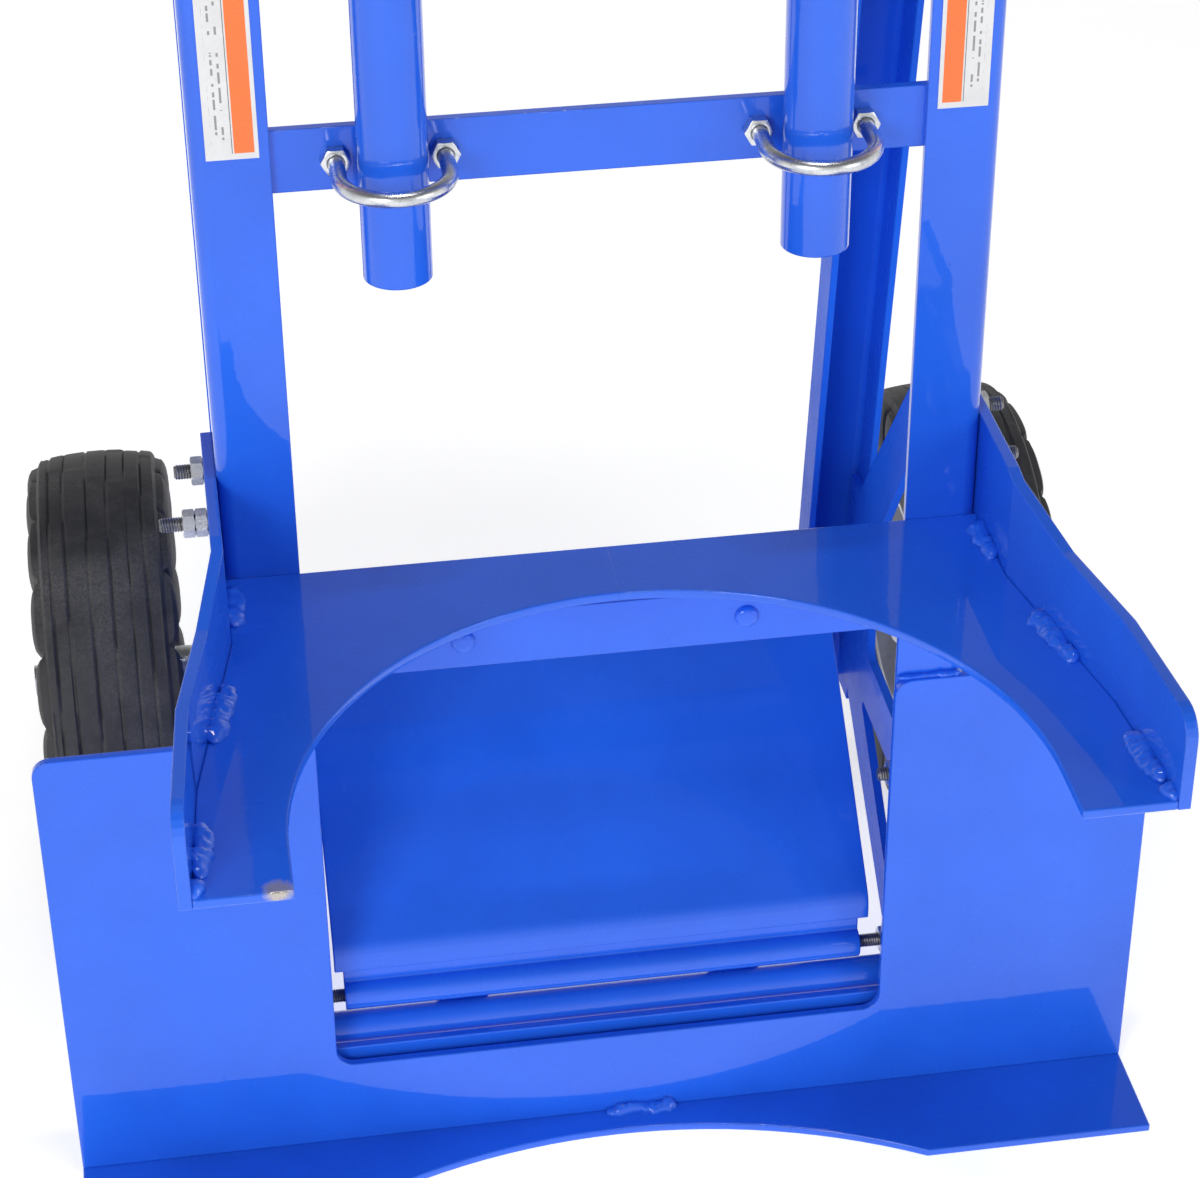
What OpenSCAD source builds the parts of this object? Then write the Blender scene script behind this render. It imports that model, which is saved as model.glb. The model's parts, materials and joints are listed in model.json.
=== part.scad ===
// Two-wheel hand truck for round loads: an angle-iron frame with rear braces, a flat
// nose and blade, a U-shaped cradle, a fold-down toe plate and a clamped loop handle.
// Axes: +X to the right of someone facing the load side, +Y to the back, +Z up.
// The origin is on the floor, under the middle of the blade's front face.
// The "right" pieces are modelled, and the "left" ones are their mirror images.

/* [Nose and blade] */
// Width of the blade and the nose
blade_w = 610; // [560:1:740]
// Height of the blade's top edge above the floor
blade_top = 290; // [260:1:330]
// Thickness of the blade, the nose and the cradle plate
plate_t = 5; // [4:0.5:7]
// Gap between the blade's opening and the rail on each side of it
opening_gap = 1.5; // [0.5:0.5:8]
// Height of the opening's lower edge above the floor
opening_z = 61; // [50:1:70]
// Depth of the nose in front of the blade, at its ends
nose_depth = 62; // [45:1:100]
// Depth of the nose in front of the blade, at its middle
nose_mid_depth = 16; // [10:1:30]
// Radius of the nose's hollow front edge
nose_arc_r = 350; // [300:1:500]

/* [Cradle] */
// Height of the cradle plate's top face above the floor
cradle_z = 390; // [375:1:430]
// Width of the cradle plate on each side of the round load, at the rails
cradle_side = 17; // [12:1:50]
// How far the cradle reaches in front of the middle of the load
cradle_lip = 35; // [10:1:70]
// Depth of the cradle plate behind the middle of the load
cradle_neck = 40; // [30:1:60]
// Height of the side wings at the rails
wing_h = 62; // [52:1:75]
// Height of the side wings at their tips
wing_tip_h = 51; // [35:1:55]
// Thickness of the side wings
wing_t = 6; // [4:0.5:8]
// How far each wing flares outwards at its tip
wing_flare = 28; // [10:1:40]

/* [Frame] */
// Width across the outsides of the rails
frame_w = 392; // [380:1:471]
// Height of the rails' top ends
rail_top = 1225; // [1100:5:1470]
// Width of a rail's front leg
rail_w = 38; // [34:1:44]
// Depth of a rail's side leg
rail_d = 51; // [45:1:60]
// Wall thickness of the rails and the braces
rail_t = 4; // [3:0.5:5]
// Depth of the brace channels
brace_d = 32; // [25:1:38]
// Distance from the braces' backs to the middle of the axle
brace_gap = 22; // [18:1:40]
// Height of the flat crossbars
bar_h = 32; // [25:1:40]
// Thickness of the flat crossbars
bar_t = 5; // [4:0.5:6]
// Height of the handle's lower crossbar, at its middle
clamp_bar_z = 617; // [560:1:700]
// Thickness of the gusset plates and the axle plates
gusset_t = 5; // [4:0.5:6]

/* [Wheels] */
// Outer diameter of the tyres
wheel_d = 280; // [260:1:336]
// Width of the tyres
wheel_w = 86; // [70:1:95]
// Distance of the axle behind the blade's front face
axle_y = 300; // [290:1:325]
// Diameter of the axle
axle_d = 19; // [16:1:22]
// Gap between the frame and each wheel's tyre
wheel_gap = 28; // [20:1:40]

/* [Handle] */
// Outer diameter of the handle tube
tube_d = 33.5; // [30:0.5:40.5]
// Wall of the handle tube
tube_wall = 2.6; // [2:0.1:4]
// Distance between the handle's two tubes
tube_pitch = 203; // [180:1:220]
// Length of the tubes below the middle of the lower clamp
tube_tail = 55; // [30:1:70]
// Height above the rails' tops where the tubes start to bend back
handle_rise = 115; // [105:1:220]
// Angle that the handle's top leans back, in degrees
bend_angle = 35; // [10:1:45]
// Diameter of the U-bolts' rod
ubolt_rod = 8; // [6:0.5:10]

/* [Toe plate] */
// Thickness of the fold-down toe plate
toe_t = 4; // [3:0.5:5]
// Length of the toe plate's flat panel
toe_len = 175; // [145:1:200]
// Height of the toe plate's hinge above the floor
toe_pivot_z = 90; // [86:1:95]

/* [Hidden] */
$fn = 64;

paint = "royalblue";
zinc = "silver";
black = "dimgray";

// Running clearances
run_gap = 0.05;        // radial, between a shaft and its bore
slide_gap = 0.3;       // between moving parts that pass each other
weld_edge = 10;        // margin round a bolt or a welded plate

// Frame, in plan
rail_front = plate_t;
rail_back = rail_front + rail_d;
rail_x = frame_w / 2;
rail_inner_x = rail_x - rail_w;
web_x = rail_x - rail_t;
gusset_x = web_x - gusset_t;
opening_w = 2 * (rail_inner_x - opening_gap);
bend_r = 2 * rail_t;
rail_foot = 6;
bar_y = rail_front + rail_t;
bar_half = rail_x - bend_r;

// Cradle
cradle_r = rail_x - cradle_side;
cradle_reach = cradle_neck + cradle_r + cradle_lip;

// Crossbars, by the height of their middles
lower_bar_z = cradle_z - plate_t - 49;
top_bar_z = rail_top - 35;
middle_bar_z = (clamp_bar_z + top_bar_z) / 2;
foot_bar_z = opening_z + 5.5 - bar_h / 2;
clamp_zs = [clamp_bar_z, top_bar_z];

// Braces: the open channel faces forwards. It meets the rail's back at the top, and it
// leans so that it passes in front of the axle
brace_top = rail_top - 5;
axle_z = wheel_d / 2;
brace_lean = atan((axle_y - brace_gap - brace_d - rail_back) / (brace_top - axle_z));
brace_foot = 100;
function brace_front_y(z) = rail_back + (brace_top - z) * tan(brace_lean);
brace_depth = brace_d / cos(brace_lean);
brace_wall = rail_t / cos(brace_lean);
function brace_web_y(z) = brace_front_y(z) + brace_depth - brace_wall;
function brace_back_y(z) = brace_front_y(z) + brace_depth;

// Wheels and axle
wheel_r = wheel_d / 2;
tyre_x = rail_x + wheel_gap;
wheel_mid_x = tyre_x + wheel_w / 2;
hub_w = wheel_w - 16;
hub_bore_r = 20;
rim_r = 0.56 * wheel_r;
washer_t = 3;
bearing_w = 12;
axle_plate_x = rail_x + gusset_t;
hub_x = wheel_mid_x - hub_w / 2;
spacer_len = hub_x - washer_t - axle_plate_x;
pin_hole_x = hub_x + hub_w + washer_t + 4;
axle_half = pin_hole_x + 8;

// Handle and its clamps
tube_r = tube_d / 2;
tube_x = tube_pitch / 2;
tube_y = bar_y - slide_gap - tube_r;
tube_foot_z = clamp_bar_z - tube_tail;
bend_z = rail_top + handle_rise;
handle_bend_r = 90;
handle_grip_len = 110;
loop_overlap = 0.5;    // of the loop's straight ends in the bends
loop_inset = 0.05;     // of the loop's skins, so that its ends lie inside the bends' wall
clamp_gap = 5.25;
ubolt_r = tube_r + clamp_gap + ubolt_rod / 2;
ubolt_y = tube_y - 7;
nut_t = 6.5;
nut_r = 7.4;
ubolt_end_y = bar_y + bar_t + 2 * nut_t + 6;

// Toe plate
toe_pivot_y = 27;
toe_slope = 43.5;
toe_side_gap = 2.5;
toe_w = opening_w - 2 * toe_side_gap;
toe_roll_r = 16;       // outer radius of the roll between the panel and the lip
knuckle_r = 8.5;
knuckle_w = toe_w - 10;
pivot_r = 4;
toe_lip_y = toe_pivot_y - 3;
toe_lip_z = toe_pivot_z + 19;
toe_roll_z = toe_lip_z + 6;
toe_web_t = 3;
cross_tube_r = 9.5;
cross_tube_z = toe_pivot_z - knuckle_r - cross_tube_r - 5.5;
pivot_reach = 24;

// Fasteners
bolt_r = 4;
bolt_head_t = 5;
gusset_bolt_z = toe_pivot_z + 119;
gusset_bolt_y = toe_pivot_y;
thread_tip_x = toe_w / 2 + 1.5;
jam_nut_inset = 5.5;
wing_bolt_y = rail_back - 15;
wing_z = cradle_z - plate_t;
wing_bolt_zs = [wing_z + 18, wing_z + 49];
crossbar_bolt_x = 75.5;

// Labels
label_w = 25;
label_t = 0.4;
label_z = clamp_bar_z + 5;
label_len = 170;

function unit(v) = v / norm(v);

// A closed outline with every corner rounded to radius r
function rounded(pts, r, n = 6) = [
    for (i = [0 : len(pts) - 1])
        let (
            p = pts[i],
            a = unit(pts[(i + len(pts) - 1) % len(pts)] - p),
            b = unit(pts[(i + 1) % len(pts)] - p),
            half = acos(a * b) / 2,
            c = p + unit(a + b) * r / sin(half),
            s = p + a * r / tan(half),
            e = p + b * r / tan(half),
            a0 = atan2(s[1] - c[1], s[0] - c[0]),
            a1 = atan2(e[1] - c[1], e[0] - c[0]),
            sweep = (a1 - a0 + 540) % 360 - 180
        )
        for (k = [0 : n]) c + r * [cos(a0 + sweep * k / n), sin(a0 + sweep * k / n)]
];

module mirrored() mirror([1, 0, 0]) children();

// Repeats its children on both sides
module both() {
    children();
    mirrored() children();
}

// Stands a Y-Z outline up as a plate that starts at x and is t thick
module side_plate(x, t) translate([x, 0, 0]) rotate([90, 0, 90]) linear_extrude(t) children();

// A round bar along X, starting at x
module bar_x(x, y, z, r, len) translate([x, y, z]) rotate([0, 90, 0]) cylinder(r = r, h = len);

// A round bar along Y, starting at y
module bar_along_y(x, y, z, r, len) translate([x, y, z]) rotate([-90, 0, 0]) cylinder(r = r, h = len);

// A hexagonal nut along X with its bore
module nut_x(x, y, z, t = nut_t) difference() {
    translate([x, y, z]) rotate([0, 90, 0]) cylinder(r = nut_r, h = t, $fn = 6);
    bar_x(x - 1, y, z, bolt_r, t + 2);
}

// A hexagonal nut along Y with its bore
module nut_along_y(x, y, z, bore_r) difference() {
    translate([x, y, z]) rotate([-90, 0, 0]) cylinder(r = nut_r, h = nut_t, $fn = 6);
    bar_along_y(x, y - 1, z, bore_r, nut_t + 2);
}

// ---- Nose and blade ----

module nose_plate() color(paint) difference() {
    translate([-blade_w / 2, -nose_depth, 0]) cube([blade_w, nose_depth + plate_t, plate_t]);
    translate([0, -nose_mid_depth - nose_arc_r, -1]) cylinder(r = nose_arc_r, h = plate_t + 2, $fn = 128);
}

blade_corner_r = 10;

// The outline of the blade's right half: its upright and its half of the bottom band
blade_half = concat(
    [[blade_w / 2, plate_t]],
    [for (a = [0 : 15 : 90]) [blade_w / 2, blade_top] + blade_corner_r * [cos(a) - 1, sin(a) - 1]],
    [for (a = [90 : 15 : 180]) [opening_w / 2, blade_top] + blade_corner_r * [cos(a) + 1, sin(a) - 1]],
    [for (a = [0 : -15 : -90]) [opening_w / 2, opening_z] + blade_corner_r * [cos(a) - 1, sin(a) + 1]]
);

module blade_plate() color(paint) translate([0, plate_t, 0]) rotate([90, 0, 0])
    linear_extrude(plate_t) polygon(concat(
        blade_half,
        [for (i = [len(blade_half) - 1 : -1 : 0]) [-blade_half[i][0], blade_half[i][1]]]
    ));

// ---- Frame ----

// A quarter of a bent sheet's corner, centred on the bend
module bent_corner() intersection() {
    difference() {
        circle(bend_r);
        circle(bend_r - rail_t);
    }
    translate([0, -bend_r]) square(bend_r);
}

// The rail's section: a bent angle, open to the inside and the back
module rail_section() translate([rail_inner_x, rail_front]) {
    square([rail_w - bend_r, rail_t]);
    translate([rail_w - rail_t, bend_r]) square([rail_t, rail_d - bend_r]);
    translate([rail_w - bend_r, bend_r]) bent_corner();
}

module rail() color(paint) difference() {
    translate([0, 0, rail_foot]) linear_extrude(rail_top - rail_foot) rail_section();
    for (z = wing_bolt_zs) bar_x(web_x - 1, wing_bolt_y, z, bolt_r, rail_t + 2);
    for (z = [toe_pivot_z, gusset_bolt_z]) bar_x(web_x - 1, gusset_bolt_y, z, bolt_r, rail_t + 2);
}

// A flat bar across the frame, half_w each way, with its middle at z
module flat_bar(y, z, half_w) translate([-half_w, y, z - bar_h / 2]) cube([2 * half_w, bar_t, bar_h]);

// A crossbar with the U-bolts' four holes
module clamp_crossbar(z) color(paint) difference() {
    flat_bar(bar_y, z, bar_half);
    for (x = [-tube_x, tube_x], side = [-ubolt_r, ubolt_r])
        bar_along_y(x + side, bar_y - 1, z, ubolt_rod / 2, bar_t + 2);
}

module crossbar_clamp() clamp_crossbar(clamp_bar_z);

module crossbar_top() clamp_crossbar(top_bar_z);

module crossbar_middle() color(paint) flat_bar(bar_y, middle_bar_z, bar_half);

module crossbar_lower() color(paint) difference() {
    flat_bar(bar_y, lower_bar_z, bar_half);
    for (x = [-crossbar_bolt_x, crossbar_bolt_x])
        bar_along_y(x, bar_y - 1, lower_bar_z, bolt_r, bar_t + 2);
}

module crossbar_foot() color(paint) flat_bar(bar_y, foot_bar_z, bar_half);

// The brace's section: a bent channel, open to the front
module brace_section() {
    translate([bend_r, brace_d - rail_t]) square([rail_w - 2 * bend_r, rail_t]);
    for (side = [0, 1]) translate([side * rail_w, 0]) mirror([side, 0]) {
        square([rail_t, brace_d - bend_r]);
        translate([bend_r, brace_d - bend_r]) rotate(180) bent_corner();
    }
}

module brace() color(paint) intersection() {
    translate([rail_inner_x, brace_front_y(0), 0]) rotate([brace_lean, 0, 0])
        translate([0, 0, -rail_top]) linear_extrude(3 * rail_top) brace_section();
    translate([0, 0, brace_foot]) cube([frame_w, 2 * axle_y, brace_top - brace_foot]);
}

// The flat bar that ties the two braces together, above the axle
module brace_tie() color(paint) translate([-rail_x, brace_back_y(tie_z), tie_z])
    rotate([brace_lean, 0, 0]) cube([frame_w, bar_t, bar_h]);
tie_z = axle_z + 40;

// The truss plate between a rail and its brace, with two windows
gusset_front = bar_y + bar_t + 2;
gusset_top = cradle_z + 91;
gusset_meet_z = 274;
gusset_heel_z = 152;
window_front = rail_back + 48;
window_back = 60;
band_h = 36;
window_top = gusset_top - 109;
window_low = 144;
window_foot = 58;
gusset_foot_y = rail_back + 32;

module gusset_outline() polygon([
    [gusset_front, rail_foot],
    [gusset_foot_y, rail_foot],
    [brace_web_y(gusset_heel_z) - bend_r, gusset_heel_z],
    [brace_web_y(gusset_meet_z) - bend_r, gusset_meet_z],
    [brace_front_y(gusset_meet_z), gusset_meet_z],
    [rail_back, gusset_top],
    [gusset_front, gusset_top]
]);

// The lower window tapers to the back, between the heel and the band
module gusset_low_window() polygon(rounded([
    [window_front, window_low],
    [window_front, window_foot],
    [brace_front_y(window_low) - 48, window_low - 1]
], 4));

// The upper window lies between the band and the sloping top member
module gusset_high_window() polygon(rounded([
    [window_front, window_low + band_h],
    [brace_front_y(window_low) - window_back, window_low + band_h],
    [brace_front_y(window_low) - window_back, window_top - 116],
    [window_front, window_top]
], 8));

module gusset() color(paint) difference() {
    side_plate(gusset_x, gusset_t) difference() {
        gusset_outline();
        gusset_low_window();
        gusset_high_window();
    }
    for (z = wing_bolt_zs) bar_x(gusset_x - 1, wing_bolt_y, z, bolt_r, gusset_t + 2);
    for (z = [toe_pivot_z, gusset_bolt_z])
        bar_x(gusset_x - 1, gusset_bolt_y, z, bolt_r, gusset_t + 2);
}

// The plate that joins the top of a rail to its brace
module top_gusset() color(paint) side_plate(rail_x, gusset_t) polygon(rounded([
    [rail_front + bend_r, brace_top - 90],
    [brace_back_y(brace_top - 90), brace_top - 90],
    [brace_back_y(brace_top), brace_top],
    [rail_front + bend_r, brace_top]
], 6));

// ---- Cradle ----

// The wing's inner face in plan, from its back end to its tip
wing_path = [
    [rail_x, rail_back + 1],
    [rail_x, -55],
    [rail_x + 0.8 * wing_flare, -0.68 * cradle_reach],
    [rail_x + wing_flare, -cradle_reach]
];

module wing_plan() polygon(concat(
    wing_path,
    [for (i = [len(wing_path) - 1 : -1 : 0]) wing_path[i] + [wing_t, 0]]
));

module wing_side() polygon(concat(
    [[rail_back + 1, wing_z], [rail_back + 1, wing_z + wing_h], [-45, wing_z + wing_h]],
    [[-110, wing_z + wing_tip_h]],
    [for (a = [90 : 15 : 180])
        [-cradle_reach, wing_z + wing_tip_h] + wing_corner_r * [1 + cos(a), sin(a) - 1]],
    [[-cradle_reach, wing_z]]
));
wing_corner_r = 14;

module wing() color(paint) difference() {
    intersection() {
        translate([0, 0, wing_z]) linear_extrude(wing_h) wing_plan();
        side_plate(0, frame_w) wing_side();
    }
    for (z = wing_bolt_zs) bar_x(rail_x - 1, wing_bolt_y, z, bolt_r, wing_t + 2);
}

module cradle_plate() color(paint) translate([0, 0, wing_z]) linear_extrude(plate_t) difference() {
    both() polygon([
        [0, rail_front],
        [rail_x, rail_front],
        wing_path[1],
        wing_path[2],
        wing_path[3],
        [0, -cradle_reach]
    ]);
    translate([0, -cradle_neck - cradle_r]) circle(cradle_r, $fn = 128);
    translate([-cradle_r, -cradle_reach - 1])
        square([2 * cradle_r, cradle_reach + 1 - cradle_neck - cradle_r]);
}

// ---- Axle and wheels ----

// The plate on the brace's outside that carries the axle
module axle_plate() color(paint) difference() {
    side_plate(rail_x, gusset_t) polygon(rounded([
        [brace_front_y(brace_foot) - 6, brace_foot + 2],
        [axle_y + axle_d, axle_z - 1.5 * axle_d],
        [axle_y + axle_d, axle_z + 1.2 * axle_d],
        [brace_back_y(axle_z) + 4, axle_z + 62],
        [brace_front_y(axle_z) - 18, axle_z + 62]
    ], 8));
    bar_x(rail_x - 1, axle_y, axle_z, axle_d / 2, gusset_t + 2);
}

module axle() color(zinc) difference() {
    bar_x(-axle_half, axle_y, axle_z, axle_d / 2, 2 * axle_half);
    both() translate([pin_hole_x, axle_y, axle_z - axle_d]) cylinder(r = cotter_r, h = 2 * axle_d);
}
cotter_r = 2;

// A ring along X round the axle
module axle_ring(x, len, r, bore_r = axle_d / 2) difference() {
    bar_x(x, axle_y, axle_z, r, len);
    bar_x(x - 1, axle_y, axle_z, bore_r, len + 2);
}

module axle_spacers() color(zinc) both() axle_ring(axle_plate_x, spacer_len, axle_d / 2 + 4);

// The rotating hub keeps slide_gap from the washers on both sides of it
module axle_washers() color(zinc) both() {
    axle_ring(hub_x - washer_t, washer_t - slide_gap, 0.9 * axle_d);
    axle_ring(hub_x + hub_w + slide_gap, washer_t - slide_gap, 0.9 * axle_d);
}

module cotter_pins() color(zinc) both() translate([pin_hole_x, axle_y, axle_z]) {
    translate([0, 0, -axle_d / 2 - 6]) cylinder(r = cotter_r, h = axle_d + 10);
    translate([0, 0, axle_d / 2 + 7]) rotate([0, 90, 0]) rotate_extrude() translate([4, 0]) circle(cotter_r);
}

// Turns a section, drawn as [distance from the axle, place along it], into a wheel part
module wheel_turned() translate([wheel_mid_x, axle_y, axle_z]) rotate([0, 90, 0]) rotate_extrude() children();

groove_r = 1.6;
groove_pitch = 13;
tyre_bulge = 9;

// The tyre: a thick ring with soft shoulders and grooves round its tread
module tyre() color(black) wheel_turned() difference() {
    polygon([
        [rim_r, -wheel_w / 2 + tyre_bulge],
        [rim_r + 16, -wheel_w / 2],
        [wheel_r - 34, -wheel_w / 2],
        [wheel_r - 12, -wheel_w / 2 + 4],
        [wheel_r - 3, -wheel_w / 2 + 12],
        [wheel_r, -wheel_w / 2 + 24],
        [wheel_r, wheel_w / 2 - 24],
        [wheel_r - 3, wheel_w / 2 - 12],
        [wheel_r - 12, wheel_w / 2 - 4],
        [wheel_r - 34, wheel_w / 2],
        [rim_r + 16, wheel_w / 2],
        [rim_r, wheel_w / 2 - tyre_bulge]
    ]);
    for (k = [-1.5 : 1 : 1.5]) translate([wheel_r - 2, k * groove_pitch - groove_r])
        square([4, 2 * groove_r]);
}

// The hub: a dished steel disc wheel with a barrel for the bearings
module hub() color("lightgray") wheel_turned() polygon([
    [hub_bore_r, -hub_w / 2],
    [hub_bore_r + 7, -hub_w / 2],
    [hub_bore_r + 7, -6],
    [rim_r - 14, -4],
    [rim_r - 8, -wheel_w / 2 + tyre_bulge],
    [rim_r, -wheel_w / 2 + tyre_bulge],
    [rim_r, wheel_w / 2 - tyre_bulge],
    [rim_r - 8, wheel_w / 2 - tyre_bulge],
    [rim_r - 14, 4],
    [hub_bore_r + 7, 6],
    [hub_bore_r + 7, hub_w / 2],
    [hub_bore_r, hub_w / 2]
]);

module bearings() color(zinc) for (x = [hub_x, hub_x + hub_w - bearing_w])
    axle_ring(x, bearing_w, hub_bore_r, axle_d / 2 + run_gap);

// ---- Handle ----

// The tube's section, with inset taken off both of its skins
module tube_ring(inset = 0) difference() {
    circle(tube_r - inset);
    circle(tube_r - tube_wall + inset);
}

// One side of the handle, up to the middle of its top loop
module handle_half() {
    translate([tube_x, tube_y, tube_foot_z]) linear_extrude(bend_z - tube_foot_z) tube_ring();
    translate([tube_x, tube_y + handle_bend_r, bend_z]) rotate([90, 0, -90])
        rotate_extrude(angle = bend_angle) translate([handle_bend_r, 0]) tube_ring();
    handle_top_frame() {
        translate([tube_x, 0, -loop_overlap])
            linear_extrude(handle_grip_len + loop_overlap) tube_ring(loop_inset);
        translate([0, 0, handle_grip_len]) rotate([90, 0, 0])
            rotate_extrude(angle = 90) translate([tube_x, 0]) tube_ring(loop_inset);
    }
}

// Moves its children from the handle's leaning top frame to the part's frame
module handle_top_frame() translate([0, tube_y + handle_bend_r, bend_z])
    rotate([-bend_angle, 0, 0]) translate([0, -handle_bend_r, 0]) children();

module handle_tube() color(paint) both() handle_half();

grip_wall = 4;
module grip() color(black) handle_top_frame() translate([tube_x, 0, 4]) difference() {
    cylinder(r = tube_r + grip_wall, h = handle_grip_len - 8);
    translate([0, 0, -1]) cylinder(r = tube_r, h = handle_grip_len);
}

// One U-bolt, open to the back, round a tube at x
module ubolt(x, z) translate([x, ubolt_y, z]) {
    rotate_extrude(angle = -180) translate([ubolt_r, 0]) circle(ubolt_rod / 2, $fn = 32);
    for (side = [-ubolt_r, ubolt_r])
        bar_along_y(side, 0, 0, ubolt_rod / 2, ubolt_end_y - ubolt_y);
}

module ubolts() color(zinc) for (x = [-tube_x, tube_x], z = clamp_zs) ubolt(x, z);

// A nut in front of the bar and two behind it, on each leg
module ubolt_nuts() color(zinc)
    for (x = [-tube_x, tube_x], side = [-ubolt_r, ubolt_r], z = clamp_zs)
        for (y = [bar_y - nut_t, bar_y + bar_t, bar_y + bar_t + nut_t])
            nut_along_y(x + side, y, z, ubolt_rod / 2);

// ---- Toe plate ----

// A point of the roll between the lip and the panel, at an angle and a distance from its middle
function toe_roll(a, r) = [toe_lip_y + toe_roll_r, toe_roll_z] + r * [cos(a), sin(a)];
roll_end = 90 + toe_slope;
roll_steps = 8;
roll_angles = [for (i = [0 : roll_steps]) 180 + (roll_end - 180) * i / roll_steps];
toe_along = [cos(toe_slope), sin(toe_slope)];
toe_tip = toe_roll(roll_end, toe_roll_r) + toe_len * toe_along;
toe_under_tip = toe_roll(roll_end, toe_roll_r - toe_t) + toe_len * toe_along;

// The underside's height at a distance behind the blade
function toe_under_z(y) = toe_under_tip[1] - (toe_under_tip[0] - y) * tan(toe_slope);

// The lip, the roll and the panel, as a Y-Z outline
module toe_panel_outline() polygon(concat(
    [[toe_lip_y, toe_lip_z]],
    [for (a = roll_angles) toe_roll(a, toe_roll_r)],
    [toe_tip, toe_under_tip],
    [for (i = [roll_steps : -1 : 0]) toe_roll(roll_angles[i], toe_roll_r - toe_t)],
    [[toe_lip_y + toe_t, toe_lip_z]]
));

// The web behind the lip joins it to the hinge tube
module toe_plate() color(paint) difference() {
    union() {
        side_plate(-toe_w / 2, toe_w) toe_panel_outline();
        translate([-knuckle_w / 2, toe_lip_y + toe_t, toe_pivot_z])
            cube([knuckle_w, toe_web_t, toe_roll_z - toe_pivot_z]);
        bar_x(-knuckle_w / 2, toe_pivot_y, toe_pivot_z, knuckle_r, knuckle_w);
    }
    bar_x(-toe_w, toe_pivot_y, toe_pivot_z, pivot_r + run_gap, 2 * toe_w);
}

module toe_cross_tube() color(paint)
    bar_x(-gusset_x, toe_pivot_y, cross_tube_z, cross_tube_r, 2 * gusset_x);

// Two straps on the cross tube that the folded toe plate leans on
strap_w = 30;
strap_x = 80;
strap_t = 6;
strap_foot = [toe_pivot_y + cross_tube_r - 1, cross_tube_z - 3];
strap_top_y = 100;
strap_top_z = toe_under_z(strap_top_y) - slide_gap / cos(toe_slope);

module toe_rest_straps() color(paint) for (x = [-strap_x, strap_x])
    side_plate(x - strap_w / 2, strap_w) difference() {
        polygon([
            strap_foot,
            strap_foot + [22, -2],
            [strap_top_y, strap_top_z],
            [strap_top_y - strap_t, strap_top_z - strap_t],
            strap_foot + [22 - strap_t, 6],
            strap_foot + [0, 6]
        ]);
        translate([toe_pivot_y, cross_tube_z]) circle(cross_tube_r);
    }

// ---- Fasteners ----

// A bolt from the rail's outside inwards, with a round shank of length len
module inward_bolt(x, y, z, len) {
    translate([x, y, z]) rotate([0, 90, 0]) cylinder(r = nut_r, h = bolt_head_t, $fn = 6);
    bar_x(x - len, y, z, bolt_r, len);
}

module toe_pivot_bolts() color(zinc) both() {
    inward_bolt(rail_x, gusset_bolt_y, toe_pivot_z, rail_x - knuckle_w / 2 + pivot_reach);
}

module gusset_bolts() color(zinc) both()
    inward_bolt(rail_x, gusset_bolt_y, gusset_bolt_z, rail_x - thread_tip_x);

// Clamping nuts against the gussets, and jam nuts near the threads' ends
module gusset_nuts() color(zinc) both()
    for (z = [toe_pivot_z, gusset_bolt_z], x = [gusset_x - nut_t, thread_tip_x + jam_nut_inset])
        nut_x(x, gusset_bolt_y, z);

wing_bolt_len = 40;

// The wing bolts point outwards, and their heads are inside the gusset
module wing_bolts() color(zinc) both() for (z = wing_bolt_zs) {
    translate([gusset_x - bolt_head_t, wing_bolt_y, z]) rotate([0, 90, 0])
        cylinder(r = nut_r, h = bolt_head_t, $fn = 6);
    bar_x(gusset_x, wing_bolt_y, z, bolt_r, z == wing_bolt_zs[0] ? wing_bolt_len : wing_bolt_len - 10);
}

// The lower bolt has a spare nut between the wing and its outer nut
module wing_nuts() color(zinc) both() {
    for (z = wing_bolt_zs) nut_x(rail_x + wing_t, wing_bolt_y, z);
    nut_x(rail_x + wing_t + nut_t, wing_bolt_y, wing_bolt_zs[0]);
}

module crossbar_bolts() color(paint) both() {
    translate([crossbar_bolt_x, bar_y, lower_bar_z]) rotate([90, 0, 0]) cylinder(r1 = 6.5, r2 = 4.5, h = 3.5);
    bar_along_y(crossbar_bolt_x, bar_y, lower_bar_z, bolt_r, bar_t + nut_t + 3);
    nut_along_y(crossbar_bolt_x, bar_y + bar_t, lower_bar_z, bolt_r);
}

// ---- Labels ----

// A blank sticker on the rail's front face
module label() color("white")
    translate([rail_inner_x + 5, rail_front - label_t, label_z]) cube([label_w, label_t, label_len]);

nose_plate();
blade_plate();
mirrored() rail();  // rail_left
rail();  // rail_right
crossbar_lower();
crossbar_clamp();
crossbar_middle();
crossbar_top();
crossbar_foot();
cradle_plate();
mirrored() wing();  // wing_left
wing();  // wing_right
mirrored() brace();  // brace_left
brace();  // brace_right
mirrored() gusset();  // gusset_left
gusset();  // gusset_right
mirrored() top_gusset();  // top_gusset_left
top_gusset();  // top_gusset_right
brace_tie();
toe_cross_tube();
toe_rest_straps();
mirrored() axle_plate();  // axle_plate_left
axle_plate();  // axle_plate_right
axle();
axle_spacers();
axle_washers();
cotter_pins();
mirrored() hub();  // hub_left
hub();  // hub_right
mirrored() tyre();  // tyre_left
tyre();  // tyre_right
mirrored() bearings();  // bearings_left
bearings();  // bearings_right
handle_tube();
mirrored() grip();  // grip_left
grip();  // grip_right
ubolts();
ubolt_nuts();
toe_plate();
toe_pivot_bolts();
gusset_bolts();
gusset_nuts();
wing_bolts();
wing_nuts();
crossbar_bolts();
mirrored() label();  // label_left
label();  // label_right
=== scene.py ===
"""Looks for the hand truck: detailed pieces, procedural materials, light and camera."""
import json
import math
import random

import bpy
from mathutils import Matrix, Vector, noise


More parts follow.
